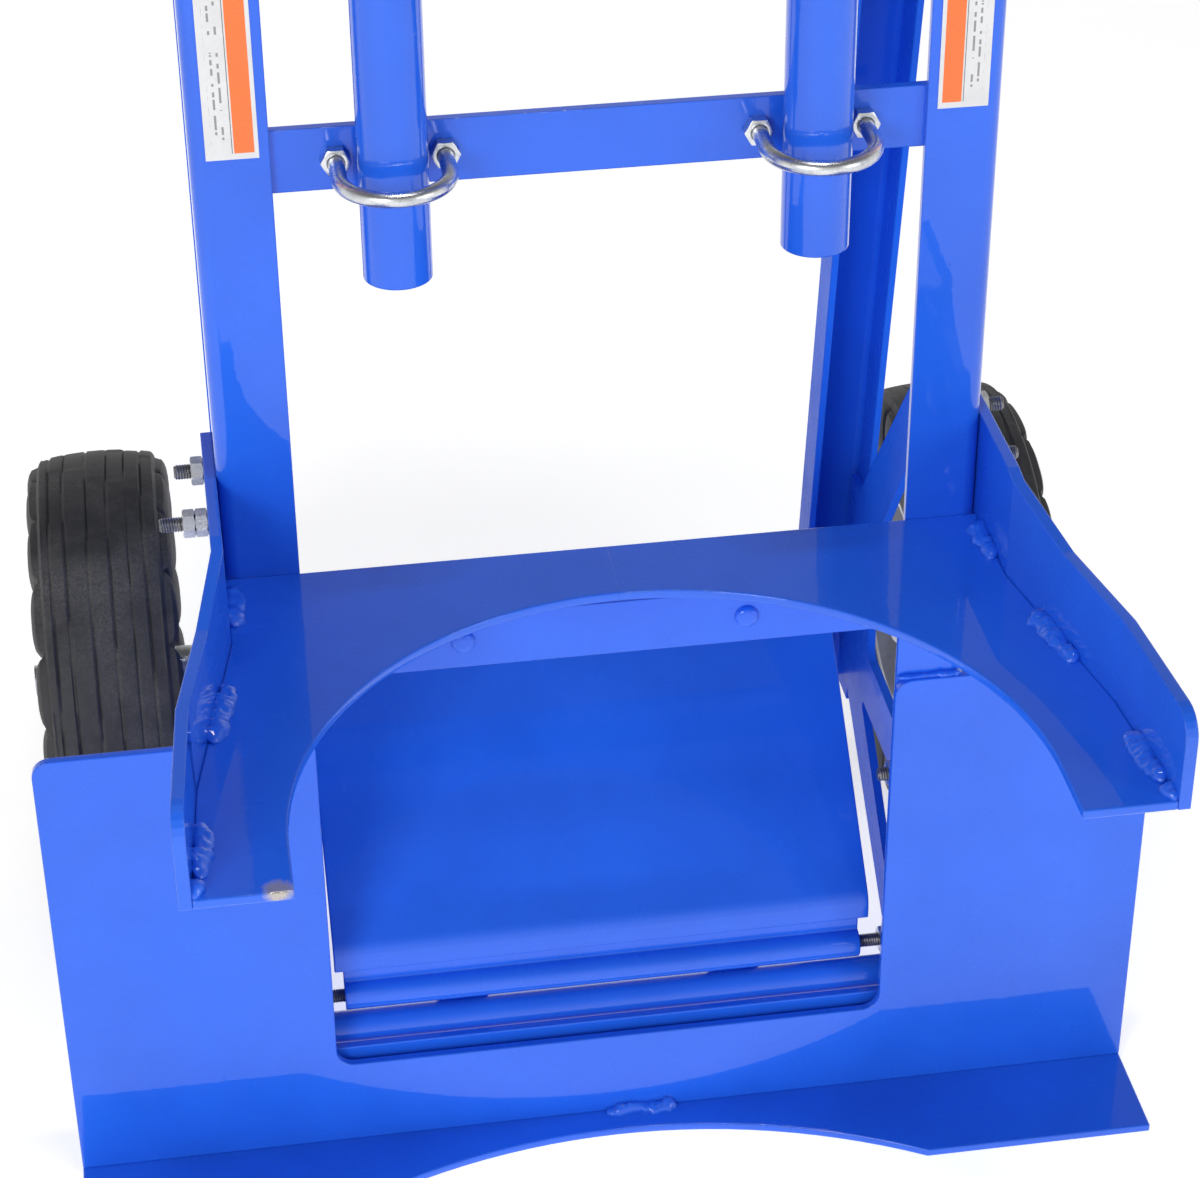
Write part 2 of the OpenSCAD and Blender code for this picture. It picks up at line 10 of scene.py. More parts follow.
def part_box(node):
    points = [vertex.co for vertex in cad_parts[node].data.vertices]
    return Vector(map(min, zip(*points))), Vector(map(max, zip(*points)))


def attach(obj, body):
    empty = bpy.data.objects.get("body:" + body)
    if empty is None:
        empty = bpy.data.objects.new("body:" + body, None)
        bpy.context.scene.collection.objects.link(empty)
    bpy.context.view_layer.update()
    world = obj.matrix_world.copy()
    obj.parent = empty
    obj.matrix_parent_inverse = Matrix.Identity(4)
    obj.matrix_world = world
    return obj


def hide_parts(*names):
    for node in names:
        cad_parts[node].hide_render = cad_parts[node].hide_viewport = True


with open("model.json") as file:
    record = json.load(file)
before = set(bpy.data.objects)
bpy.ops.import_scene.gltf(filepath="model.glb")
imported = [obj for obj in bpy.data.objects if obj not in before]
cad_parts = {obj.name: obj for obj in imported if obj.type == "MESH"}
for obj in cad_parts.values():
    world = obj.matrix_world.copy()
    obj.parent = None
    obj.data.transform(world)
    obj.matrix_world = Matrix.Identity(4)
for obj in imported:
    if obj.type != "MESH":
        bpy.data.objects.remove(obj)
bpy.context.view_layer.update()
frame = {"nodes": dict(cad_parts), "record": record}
nodes = frame["nodes"]
MM = 0.001
SIDES = (-1, 1)


# ---------------------------------------------------------------- node helpers

def new_material(name):
    """An empty node material with its shader, and a function that adds nodes to it."""
    material = bpy.data.materials.new(name)
    material.use_nodes = True
    tree = material.node_tree
    tree.nodes.clear()
    shader = tree.nodes.new("ShaderNodeBsdfPrincipled")
    output = tree.nodes.new("ShaderNodeOutputMaterial")
    tree.links.new(shader.outputs["BSDF"], output.inputs["Surface"])

    def add(kind, **inputs):
        node = tree.nodes.new(kind)
        for key, value in inputs.items():
            connect(node.inputs[key.replace("_", " ")], value)
        return node

    def connect(socket, value):
        if isinstance(value, bpy.types.NodeSocket):
            tree.links.new(value, socket)
        else:
            socket.default_value = value

    return material, shader, add, connect


def object_place(add):
    """The place on the piece, in metres."""
    return add("ShaderNodeTexCoord").outputs["Object"]


def noise_value(add, place, scale, detail=3.0, roughness=0.5, distortion=0.0):
    node = add(
        "ShaderNodeTexNoise", Vector=place, Scale=scale, Detail=detail,
        Roughness=roughness, Distortion=distortion,
    )
    return node.outputs["Fac"]


def ramp(add, value, *stops):
    """A colour ramp with (position, colour) stops."""
    node = add("ShaderNodeValToRGB", Fac=value)
    elements = node.color_ramp.elements
    while len(elements) < len(stops):
        elements.new(0.5)
    for element, (position, colour) in zip(elements, stops):
        element.position = position
        element.color = grey(colour) if isinstance(colour, float) else (*colour, 1)
    return node.outputs["Color"]


def grey(value):
    return (value, value, value, 1)


def math_node(add, operation, a, b):
    node = add("ShaderNodeMath")
    node.operation = operation
    for socket, value in zip(node.inputs, (a, b)):
        if isinstance(value, bpy.types.NodeSocket):
            node.id_data.links.new(value, socket)
        else:
            socket.default_value = value
    return node.outputs[0]


def mix_colour(add, factor, a, b):
    node = add("ShaderNodeMix")
    node.data_type = "RGBA"
    for socket, value in ((node.inputs[0], factor), (node.inputs[6], a), (node.inputs[7], b)):
        if isinstance(value, bpy.types.NodeSocket):
            node.id_data.links.new(value, socket)
        else:
            socket.default_value = value
    return node.outputs[2]


def bump(add, height, distance, strength=1.0, normal=None):
    node = add("ShaderNodeBump", Height=height, Distance=distance, Strength=strength)
    if normal is not None:
        node.id_data.links.new(normal, node.inputs["Normal"])
    return node.outputs["Normal"]


# ---------------------------------------------------------------- materials

PAINT_LIGHT = (0.017, 0.135, 0.810, 1)
PAINT_DEEP = (0.013, 0.106, 0.670, 1)


def enamel(name, light, deep, peel=1.0, gloss=1.0, scuff_at=None):
    """Glossy baked enamel: colour drift, orange peel, dust nibs and a painted highlight of lighter blue
    on the edges.
    """
    material, shader, add, connect = new_material(name)
    place = object_place(add)
    drift = noise_value(add, place, 5.0, 4.0, 0.6)
    colour = mix_colour(add, ramp(add, drift, (0.36, 0.0), (0.66, 1.0)), light, deep)

    rounded = add("ShaderNodeBevel", Radius=0.0012)
    rounded.samples = 4
    sag = noise_value(add, place, 14.0, 1.0)
    waves = bump(add, sag, 0.0005 * peel, 0.5, rounded.outputs["Normal"])
    orange_peel = bump(add, noise_value(add, place, 300.0, 1.5, 0.5), 0.00003 * peel, 0.5, waves)
    nibs = add("ShaderNodeTexVoronoi", Vector=place, Scale=85.0)
    nib_mask = ramp(add, nibs.outputs["Distance"], (0.0, 1.0), (0.10, 0.0))
    normal = bump(add, nib_mask, 0.00012 * peel, 0.5, orange_peel)

    # Where the rounded normal leaves the true one there is an edge, and in patches a painted highlight
    # of lighter blue lies on it
    edge = add("ShaderNodeVectorMath")
    edge.operation = "DOT_PRODUCT"
    true_normal = add("ShaderNodeNewGeometry").outputs["Normal"]
    edge.id_data.links.new(rounded.outputs["Normal"], edge.inputs[0])
    edge.id_data.links.new(true_normal, edge.inputs[1])
    edge_mask = ramp(add, edge.outputs["Value"], (0.80, 1.0), (0.97, 0.0))
    patches = ramp(add, noise_value(add, place, 38.0, 6.0, 0.7), (0.60, 0.0), (0.68, 1.0))
    edge_highlight = math_node(add, "MULTIPLY", edge_mask, patches)
    # Painted highlight: the edges are mixed toward a lighter blue
    colour = mix_colour(add, math_node(add, "MULTIPLY", edge_highlight, 0.35), colour, (0.10, 0.28, 0.90, 1))

    metal = 0.0
    if scuff_at is not None:
        # Paint knocked off to the metal round one point
        reach = add("ShaderNodeVectorMath")
        reach.operation = "DISTANCE"
        reach.id_data.links.new(place, reach.inputs[0])
        reach.inputs[1].default_value = scuff_at
        ragged = noise_value(add, place, 160.0, 5.0, 0.7)
        raggedness = math_node(add, "MULTIPLY", ragged, 0.008)
        spread = math_node(add, "ADD", reach.outputs["Value"], raggedness)
        scuff = ramp(add, spread, (0.0078, 1.0), (0.0086, 0.0))
        colour = mix_colour(add, scuff, colour, (0.50, 0.46, 0.40, 1))
        metal = math_node(add, "MULTIPLY", scuff, 0.8)

    gloss_drift = noise_value(add, place, 24.0, 5.0, 0.65)
    connect(shader.inputs["Base Color"], colour)
    connect(shader.inputs["Metallic"], metal)
    connect(shader.inputs["Roughness"], ramp(add, gloss_drift, (0.3, 0.20), (0.75, 0.36)))
    connect(shader.inputs["Normal"], normal)
    shader.inputs["Specular IOR Level"].default_value = 0.12 * gloss
    shader.inputs["Coat Weight"].default_value = gloss
    shader.inputs["Coat Roughness"].default_value = 0.008
    shader.inputs["Coat IOR"].default_value = 1.47
    connect(shader.inputs["Coat Normal"], normal)
    return material


def plated(name, light, dark, roughness, scratch_scale=260.0):
    """Zinc plate: cloudy tone, fine drawing marks and dull spots."""
    material, shader, add, connect = new_material(name)
    place = object_place(add)
    clouds = noise_value(add, place, 95.0, 5.0, 0.65)
    colour = mix_colour(add, ramp(add, clouds, (0.35, 0.0), (0.68, 1.0)), light, dark)
    spots = ramp(add, noise_value(add, place, 420.0, 3.0), (0.60, 0.0), (0.70, 1.0))
    colour = mix_colour(add, math_node(add, "MULTIPLY", spots, 0.35), colour, (0.20, 0.19, 0.18, 1))
    stretched = add("ShaderNodeMapping", Vector=place)
    stretched.inputs["Scale"].default_value = (1.0, 6.0, 6.0)
    marks = noise_value(add, stretched.outputs["Vector"], scratch_scale, 4.0, 0.6)
    normal = bump(add, marks, 0.00010, 0.5)
    connect(shader.inputs["Base Color"], colour)
    shader.inputs["Metallic"].default_value = 1.0
    connect(shader.inputs["Roughness"], ramp(add, clouds, (0.3, roughness), (0.7, roughness + 0.16)))
    connect(shader.inputs["Normal"], normal)
    return material


def rubber(name, dark, dusty, grain=1.0, ribs=None):
    """Matt rubber: fine grain, dusty worn patches and, for grips, moulded ribs."""
    material, shader, add, connect = new_material(name)
    place = object_place(add)
    dust = noise_value(add, place, 14.0, 6.0, 0.7)
    fine = noise_value(add, place, 650.0, 3.0, 0.6)
    patches = ramp(add, dust, (0.40, 0.0), (0.72, 1.0))
    specks = ramp(add, fine, (0.35, 0.3), (0.7, 1.0))
    colour = mix_colour(add, math_node(add, "MULTIPLY", patches, specks), dark, dusty)
    coarse = noise_value(add, place, 240.0, 4.0, 0.6)
    normal = bump(add, coarse, 0.0005 * grain, 0.55)
    normal = bump(add, fine, 0.0002 * grain, 0.5, normal)
    if ribs is not None:
        wave = add("ShaderNodeTexWave", Vector=place, Scale=ribs)
        wave.bands_direction = "Z"
        normal = bump(add, wave.outputs["Fac"], 0.0008, 0.8, normal)
    connect(shader.inputs["Base Color"], colour)
    connect(shader.inputs["Roughness"], ramp(add, dust, (0.3, 0.52), (0.75, 0.78)))
    connect(shader.inputs["Normal"], normal)
    shader.inputs["Specular IOR Level"].default_value = 0.4
    return material


BAND_EDGES = (0.0020, 0.0115)
RULE_EDGES = (0.0122, 0.0126)
CROSS_RULE_EDGES = (0.0840, 0.0846)
CROSS_RULE_REACH = (0.0020, 0.0230)
FRAME_ENDS = (0.003, 0.167)
DASH_COLUMNS = (0.0140, 0.0218)
DASH_ENDS = (0.008, 0.160)
DASH_PITCH = 0.0031


def sticker(name, inner_x, low_z):
    """A vinyl sticker: white film, an orange band, rules and rows of dashes, no lettering."""
    material, shader, add, connect = new_material(name)
    place = object_place(add)
    split = add("ShaderNodeSeparateXYZ", Vector=place)
    across = math_node(add, "SUBTRACT", math_node(add, "ABSOLUTE", split.outputs["X"], 0.0), inner_x)
    up = math_node(add, "SUBTRACT", split.outputs["Z"], low_z)

    def between(value, limits):
        above = math_node(add, "GREATER_THAN", value, limits[0])
        below = math_node(add, "LESS_THAN", value, limits[1])
        return math_node(add, "MULTIPLY", above, below)

    film = mix_colour(
        add, ramp(add, noise_value(add, place, 60.0, 4.0), (0.4, 0.0), (0.7, 1.0)),
        (0.70, 0.70, 0.70, 1), (0.64, 0.64, 0.64, 1),
    )
    inside = between(up, FRAME_ENDS)
    band = math_node(add, "MULTIPLY", between(across, BAND_EDGES), inside)
    long_rule = math_node(add, "MULTIPLY", between(across, RULE_EDGES), inside)
    cross_rule = math_node(
        add, "MULTIPLY", between(up, CROSS_RULE_EDGES), between(across, CROSS_RULE_REACH)
    )
    rules = math_node(add, "MAXIMUM", long_rule, cross_rule)

    rows = math_node(add, "DIVIDE", across, DASH_PITCH)
    row = math_node(add, "LESS_THAN", math_node(add, "FRACT", rows, 0.0), 0.35)
    dash_place = add(
        "ShaderNodeCombineXYZ",
        X=math_node(add, "MULTIPLY", math_node(add, "FLOOR", rows, 0.0), 7.3),
        Y=math_node(add, "MULTIPLY", up, 260.0),
    )
    dash_noise = noise_value(add, dash_place.outputs["Vector"], 1.0, 1.0)
    dash = math_node(add, "GREATER_THAN", dash_noise, 0.50)
    dash_area = math_node(add, "MULTIPLY", between(across, DASH_COLUMNS), between(up, DASH_ENDS))
    dashes = math_node(add, "MULTIPLY", math_node(add, "MULTIPLY", row, dash), dash_area)

    colour = mix_colour(add, band, film, (0.83, 0.16, 0.02, 1))
    colour = mix_colour(add, rules, colour, (0.10, 0.10, 0.10, 1))
    colour = mix_colour(add, math_node(add, "MULTIPLY", dashes, 0.75), colour, (0.12, 0.12, 0.12, 1))
    connect(shader.inputs["Base Color"], colour)
    gloss_drift = noise_value(add, place, 90.0, 4.0)
    connect(shader.inputs["Roughness"], ramp(add, gloss_drift, (0.3, 0.22), (0.7, 0.38)))
    connect(shader.inputs["Normal"], bump(add, noise_value(add, place, 120.0, 2.0), 0.00012, 0.5))
    shader.inputs["Coat Weight"].default_value = 0.4
    shader.inputs["Coat Roughness"].default_value = 0.12
    return material


BLUE = enamel("blue_enamel", PAINT_LIGHT, PAINT_DEEP)
BLUE_WELD = enamel("blue_enamel_weld", PAINT_LIGHT, PAINT_DEEP, peel=3.0)
# Painted shade: a copy of the blue enamel with almost no coat or sheen, so the inner parts reflect
# little and read dark as in shade
BLUE_DULLED_FOR_SHADE = enamel("blue_enamel_dulled_for_shade", PAINT_LIGHT, PAINT_DEEP, gloss=0.10)
BLUE_SCUFFED = enamel("blue_enamel_scuffed", PAINT_LIGHT, PAINT_DEEP, scuff_at=(-0.186, -0.252, 0.390))
HUB_GREY = enamel("hub_enamel", (0.62, 0.62, 0.60, 1), (0.50, 0.50, 0.49, 1))
ZINC = plated("zinc_plate", (0.74, 0.75, 0.76, 1), (0.50, 0.52, 0.55, 1), 0.20)
STEEL = plated("oiled_steel", (0.30, 0.30, 0.31, 1), (0.14, 0.14, 0.15, 1), 0.34, 420.0)
TYRE = rubber("tyre_rubber", (0.036, 0.036, 0.038, 1), (0.150, 0.147, 0.143, 1), 1.0)
GRIP = rubber("grip_rubber", (0.016, 0.016, 0.017, 1), (0.036, 0.036, 0.036, 1), 0.6, 60.0)

SLOT_MATERIALS = {
    "blue_paint": BLUE, "hub_paint": HUB_GREY, "zinc_steel": ZINC,
    "tyre_rubber": TYRE, "grip_rubber": GRIP,
}
SHADED_INNER_NODES = (
    "gusset_left", "gusset_right", "brace_left", "brace_right", "brace_tie",
    "axle_plate_left", "axle_plate_right",
)
SLOT_OF = {row["node"]: row["material_slot"] for row in frame["record"]["subparts"]}


def set_material(obj, material):
    obj.data.materials.clear()
    obj.data.materials.append(material)


for name, obj in nodes.items():
    if SLOT_OF[name] == "label_film":
        low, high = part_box(name)
        set_material(obj, sticker(name + "_film", min(abs(low.x), abs(high.x)), low.z))
    else:
        set_material(obj, SLOT_MATERIALS[SLOT_OF[name]])
set_material(nodes["cradle_plate"], BLUE_SCUFFED)
# The inner gussets, braces and axle plates get the dulled enamel as painted shade
for name in SHADED_INNER_NODES:
    set_material(nodes[name], BLUE_DULLED_FOR_SHADE)


# ---------------------------------------------------------------- edges of the carried-over parts

# In millimetres
EDGE_RADII = {
    "nose_plate": 0.9, "blade_plate": 0.9, "cradle_plate": 0.9, "wing_left": 1.1, "wing_right": 1.1,
    "gusset_left": 0.6, "gusset_right": 0.6, "top_gusset_left": 0.8, "top_gusset_right": 0.8,
    "crossbar_lower": 0.8, "crossbar_clamp": 0.8, "crossbar_middle": 0.8, "crossbar_top": 0.8,
    "crossbar_foot": 0.8, "rail_left": 0.6, "rail_right": 0.6, "brace_left": 0.6, "brace_right": 0.6,
    "brace_tie": 0.8, "axle_plate_left": 0.8, "axle_plate_right": 0.8, "toe_plate": 0.8,
    "toe_rest_straps": 0.8, "hub_left": 0.8, "hub_right": 0.8,
}


def soften(obj, radius):
    """Rounds the sharp edges of a carried-over part and keeps its faces flat."""
    weld = obj.modifiers.new("merge", "WELD")
    weld.merge_threshold = 1e-6
    flatten = obj.modifiers.new("flat_faces", "DECIMATE")
    flatten.decimate_type = "DISSOLVE"
    flatten.angle_limit = math.radians(0.5)
    bevel = obj.modifiers.new("edges", "BEVEL")
    bevel.width = radius * MM
    bevel.segments = 3
    bevel.limit_method = "ANGLE"
    bevel.angle_limit = math.radians(35)
    bevel.use_clamp_overlap = True
    bevel.harden_normals = True


for name, radius in EDGE_RADII.items():
    soften(nodes[name], radius)


# ---------------------------------------------------------------- mesh helpers

def add_piece(name, verts, faces, material, body, replaces=(), flat_angle=35):
    """A new mesh piece in the shared frame, riding on a body."""
    mesh = bpy.data.meshes.new(name)
    mesh.from_pydata([tuple(v) for v in verts], [], faces)
    mesh.update()
    obj = bpy.data.objects.new(name, mesh)
    bpy.context.scene.collection.objects.link(obj)
    set_material(obj, material)
    mesh.shade_smooth()
    mesh.set_sharp_from_angle(angle=math.radians(flat_angle))
    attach(obj, body)
    if replaces:
        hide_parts(*replaces)
    return obj


class Shape:
    """Collects rings of points into one mesh."""

    def __init__(self):
        self.verts = []
        self.faces = []

    def tube(self, rings, closed_rings=True, cap_start=True, cap_end=True, loop=False):
        """Joins rings of equal length into a skin."""
        base = len(self.verts)
        count = len(rings[0])
        for ring in rings:
            self.verts.extend(ring)
        spans = len(rings) if loop else len(rings) - 1
        steps = count if closed_rings else count - 1
        for i in range(spans):
            a = base + i * count
            b = base + (i + 1) % len(rings) * count
            for j in range(steps):
                k = (j + 1) % count
                self.faces.append((a + j, a + k, b + k, b + j))
        if cap_start and not loop:
            self.faces.append(tuple(base + j for j in reversed(range(count))))
        if cap_end and not loop:
            end = base + (len(rings) - 1) * count
            self.faces.append(tuple(end + j for j in range(count)))


def frame_along(direction):
    """Two directions that make a right-handed set with the given one."""
    w = Vector(direction).normalized()
    helper = Vector((0, 0, 1)) if abs(w.z) < 0.9 else Vector((0, 1, 0))
    u = helper.cross(w).normalized()
    return u, w.cross(u), w


def circle_ring(centre, u, v, radius, count):
    """radius is a number, or a function of the angle."""
    ring = []
    for i in range(count):
        angle = 2 * math.pi * i / count
        r = radius(angle) if callable(radius) else radius
        ring.append(Vector(centre) + u * (r * math.cos(angle)) + v * (r * math.sin(angle)))
    return ring


def add_nut(shape, start, direction, height, corner, bore):
    """A chamfered hexagonal nut; bore 0 makes it a bolt head."""
    u, v, w = frame_along(direction)
    start = Vector(start)
    flat = corner * math.cos(math.pi / 6)
    count = 36

    def hex_radius(angle):
        return flat / math.cos((angle % (math.pi / 3)) - math.pi / 6)

    def ring(level, radius):
        return circle_ring(start + w * level, u, v, radius, count)

    def edge(top):
        points = []
        for i in range(count):
            angle = 2 * math.pi * i / count
            r = hex_radius(angle)
            level = (r - flat * 0.96) * 0.5
            if top:
                level = height - level
            points.append(start + w * level + u * (r * math.cos(angle)) + v * (r * math.sin(angle)))
        return points

    rings = [ring(0, flat * 0.96), edge(False), edge(True), ring(height, flat * 0.96)]
    if bore:
        lip = bore * 1.14
        inner = [ring(height, lip), ring(height - 0.0006, bore), ring(0.0006, bore), ring(0, lip)]
        shape.tube(rings + inner, loop=True)
    else:
        rings.append(ring(height - 0.0002, flat * 0.80))
        shape.tube(rings)


def add_thread(shape, start, end, radius, pitch=0.0014, depth=0.0006):
    """A threaded rod with one helical groove and a chamfered tip at its end."""
    start, end = Vector(start), Vector(end)
    u, v, w = frame_along(end - start)
    length = (end - start).length
    count = 20
    steps = max(2, int(length / pitch * 5))
    rings = []
    for i in range(steps + 1):
        along = length * i / steps
        taper = min(1.0, (length - along) / 0.0012)

        def groove(angle, along=along, taper=taper):
            phase = (along / pitch - angle / (2 * math.pi)) % 1.0
            cut = depth * (1 - abs(2 * phase - 1))
            return (radius - cut) * (0.78 + 0.22 * taper)

        rings.append(circle_ring(start + w * along, u, v, groove, count))
    shape.tube(rings)


def add_rod(shape, start, end, radius, count=24):
    start, end = Vector(start), Vector(end)
    u, v, _ = frame_along(end - start)
    shape.tube([circle_ring(start, u, v, radius, count), circle_ring(end, u, v, radius, count)])


def add_bead(shape, path, width, height, seed, up=(0, 0, 1)):
    """A weld bead: uneven puddles that run into each other along a path."""
    rng = random.Random(seed)
    points = [Vector(p) for p in path]
    length = sum((b - a).length for a, b in zip(points, points[1:]))
    steps = max(14, int(length / 0.0010))
    puddles = []
    reach = -0.001
    while reach < length:
        puddles.append((reach, rng.uniform(0.80, 1.12), rng.uniform(-0.18, 0.18)))
        reach += rng.uniform(0.0045, 0.0095)
    offset = Vector((seed * 3.7, 0, 0))
    rings = []
    for i in range(steps + 1):
        t = i / steps
        spot = t * (len(points) - 1)
        k = min(int(spot), len(points) - 2)
        centre = points[k].lerp(points[k + 1], spot - k)
        w = (points[k + 1] - points[k]).normalized()
        v = Vector(up).normalized()
        u = v.cross(w).normalized()
        along = t * length
        start, size, shift = [p for p in puddles if p[0] <= along][-1]
        rise = 0.86 + 0.14 * math.exp(-((along - start) / 0.0028) ** 2)
        end = min(1.0, along / 0.0040, (length - along) / 0.0040)
        swell = size * rise * math.sqrt(max(0.02, end))
        ring = []
        for j in range(18):
            angle = 2 * math.pi * j / 18
            around = Vector((math.cos(angle) * 0.9, math.sin(angle) * 0.9, along * 150))
            fine = Vector((around.x * 3.0, around.y * 3.0, along * 420))
            lump = 1 + 0.26 * noise.noise(around + offset) + 0.22 * noise.noise(fine + offset)
            side = width * (swell * lump * math.cos(angle) + shift)
            ring.append(centre + u * side + v * (height * swell * lump * math.sin(angle)))
        rings.append(ring)
    shape.tube(rings)


def piece_from(shape, name, material, body, replaces=(), flat_angle=35):
    return add_piece(name, shape.verts, shape.faces, material, body, replaces, flat_angle)


# ---------------------------------------------------------------- places shared with the CAD parts

rail = {side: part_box("rail_right" if side > 0 else "rail_left") for side in SIDES}
rail_x = rail[1][1].x
rail_back = rail[1][1].y
rail_inner_x = rail_x - 38 * MM
cradle_low, cradle_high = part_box("cradle_plate")
wing_low, wing_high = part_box("wing_right")
wing_t = 6 * MM
wing_flare = wing_high.x - rail_x - wing_t
cradle_z = cradle_high.z
cradle_reach = -cradle_low.y
blade_low, blade_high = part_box("blade_plate")
blade_top = blade_high.z
plate_t = blade_high.y - blade_low.y
bolt_r = 4 * MM
nut_r = 7.4 * MM
nut_t = 6.5 * MM


def wing_x(y):
    """The wing's inner face at the cradle's height."""
    stops = [
        (-cradle_reach, wing_flare), (-0.68 * cradle_reach, 0.8 * wing_flare), (-0.055, 0.0), (1.0, 0.0),
    ]
    for (y0, x0), (y1, x1) in zip(stops, stops[1:]):
        if y <= y1:
            return rail_x + x0 + (x1 - x0) * (y - y0) / (y1 - y0)
    return rail_x


# ---------------------------------------------------------------- tyres

TYRE_LUGS = 18
TYRE_STEPS = 324


def smooth_step(value):
    value = max(0.0, min(1.0, value))
    return value * value * (3 - 2 * value)


TREAD_LINES = (-0.0290, -0.0200, -0.0065, 0.0060, 0.0170, 0.0265)


def tread_cut(u, turn):
    """How deep the tread is cut below its crown, at u across and turn (0 to 1) around."""
    cut = 0.0
    for k, line in enumerate(TREAD_LINES):
        depth = 0.0011 if (turn * 9 + k * 0.4) % 1.0 < 0.72 else 0.0004
        cut = max(cut, depth * (1 - smooth_step((abs(u - line) - 0.0003) / 0.0008)))
    rib = sum(u > line for line in TREAD_LINES)
    lowered = (turn * 7 + rib * 0.43) % 1.0 < 0.45
    return cut + (0.0006 if lowered else 0.0)


def tyre_ring(turn, centre, radius, half):
    """The tyre's section at one place round it, from the inner rim out and back."""
    lug = abs(2 * ((turn * TYRE_LUGS) % 1.0) - 1)
    bulge = (1 - lug ** 3.2) ** 0.6
    notch = smooth_step((lug - 0.86) / 0.12)
    rim = radius * 0.56
    side = [
        (half - 0.009, rim), (half - 0.0065, rim + 0.003), (half - 0.0055, rim + 0.012),
        (half - 0.0062, rim + 0.0140), (half - 0.0062, rim + 0.0190), (half - 0.0050, rim + 0.0205),
    ]
    lug_radii = (0.100, 0.103, 0.107, 0.112, 0.117, 0.122, 0.126, 0.129, 0.1312)
    for k, r in enumerate(lug_radii):
        arch = math.sin(math.pi * (k + 0.6) / (len(lug_radii) + 0.2)) ** 0.55
        side.append((half - 0.0048 + 0.0048 * bulge * arch - 0.0042 * notch * arch, r * radius / 0.140))
    shoulder = 0.0016 * notch
    side += [
        (half - 0.0070, radius - 0.0075 - shoulder), (half - 0.0078, radius - 0.0052 - shoulder),
        (half - 0.0090, radius - 0.0036),
    ]
    crown = []
    steps = 76
    for i in range(1, steps):
        u = (half - 0.0090) * (1 - 2 * i / steps)
        crown_drop = 0.0034 * abs(u / (half - 0.009)) ** 2.2
        crown.append((u, radius - crown_drop - tread_cut(u, turn)))
    section = side + crown + [(-u, r) for u, r in reversed(side)]
    angle = 2 * math.pi * turn
    return [
        Vector((centre.x + u, centre.y + r * math.cos(angle), centre.z + r * math.sin(angle)))
        for u, r in section
    ]


def make_tyre(side):
    name = "tyre_right" if side > 0 else "tyre_left"
    low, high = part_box(name)
    centre = (low + high) / 2
    shape = Shape()
    radius = (high.z - low.z) / 2
    half = (high.x - low.x) / 2
    start = 0.017 if side > 0 else 0.0
    rings = [
        tyre_ring((i / TYRE_STEPS + start) % 1.0, centre, radius, half) for i in range(TYRE_STEPS)
    ]
    shape.tube(rings, loop=True)
    body = "right_wheel" if side > 0 else "left_wheel"
    piece_from(shape, name + "_moulded", TYRE, body, (name,), 28)


for side in SIDES:
    make_tyre(side)


# ---------------------------------------------------------------- fasteners

SHOULDER_BOLT_Y = 27 * MM
BOLT_HEAD_T = 5 * MM
JAM_NUT_X = 167.5 * MM

def make_wing_fasteners():
    bolts, nuts = Shape(), Shape()
    y = rail_back - 15 * MM
    gusset_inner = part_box("gusset_right")[0].x
    for side in SIDES:
        for z, tip in ((wing_low.z + 0.018, 40 * MM), (wing_low.z + 0.049, 30 * MM)):
            add_nut(bolts, (side * gusset_inner, y, z), (-side, 0, 0), BOLT_HEAD_T, nut_r, 0)
            shank_end = side * (rail_x + 2 * MM)
            add_rod(bolts, (side * gusset_inner, y, z), (shank_end, y, z), bolt_r)
            add_thread(bolts, (shank_end, y, z), (side * (gusset_inner + tip), y, z), bolt_r)
            add_nut(nuts, (side * (rail_x + wing_t), y, z), (side, 0, 0), nut_t, nut_r, bolt_r)
        z = wing_low.z + 0.018
        add_nut(nuts, (side * (rail_x + wing_t + nut_t), y, z), (side, 0, 0), nut_t, nut_r, bolt_r)
    piece_from(bolts, "wing_bolts_threaded", STEEL, "frame", ("wing_bolts",))
    piece_from(nuts, "wing_nuts_chamfered", ZINC, "frame", ("wing_nuts",))


def node_middle_z(node):
    low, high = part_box(node)
    return (low.z + high.z) / 2


def make_inward_bolts(node, tip):
    """Bolts that come in through the rails, with their threads ending tip from the middle."""
    shape = Shape()
    z = node_middle_z(node)
    y = SHOULDER_BOLT_Y
    for side in SIDES:
        add_nut(shape, (side * rail_x, y, z), (side, 0, 0), BOLT_HEAD_T, nut_r, 0)
        plain_end = side * (rail_x - 12 * MM)
        add_rod(shape, (side * rail_x, y, z), (plain_end, y, z), bolt_r)
        add_thread(shape, (plain_end, y, z), (side * tip, y, z), bolt_r)
    piece_from(shape, node + "_threaded", STEEL, "frame", (node,))


def make_gusset_nuts():
    shape = Shape()
    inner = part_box("gusset_right")[0].x
    for side in SIDES:
        for node in ("toe_pivot_bolts", "gusset_bolts"):
            z = node_middle_z(node)
            for x in (inner, JAM_NUT_X):
                start = (side * x, SHOULDER_BOLT_Y, z)
                add_nut(shape, start, (-side, 0, 0), nut_t, nut_r, bolt_r)
    piece_from(shape, "gusset_nuts_chamfered", ZINC, "frame", ("gusset_nuts",))


UBOLT_R = 26 * MM
UBOLT_ROD = 4 * MM
UBOLT_Y = -15.05 * MM
UBOLT_TUBE_X = 101.5 * MM


def leg_ring(x, y, z, inward):
    """One ring of a U-bolt's leg, ordered to join the bend's rings."""
    return circle_ring((x, y, z), Vector((inward, 0, 0)), Vector((0, 0, 1)), UBOLT_ROD, 20)


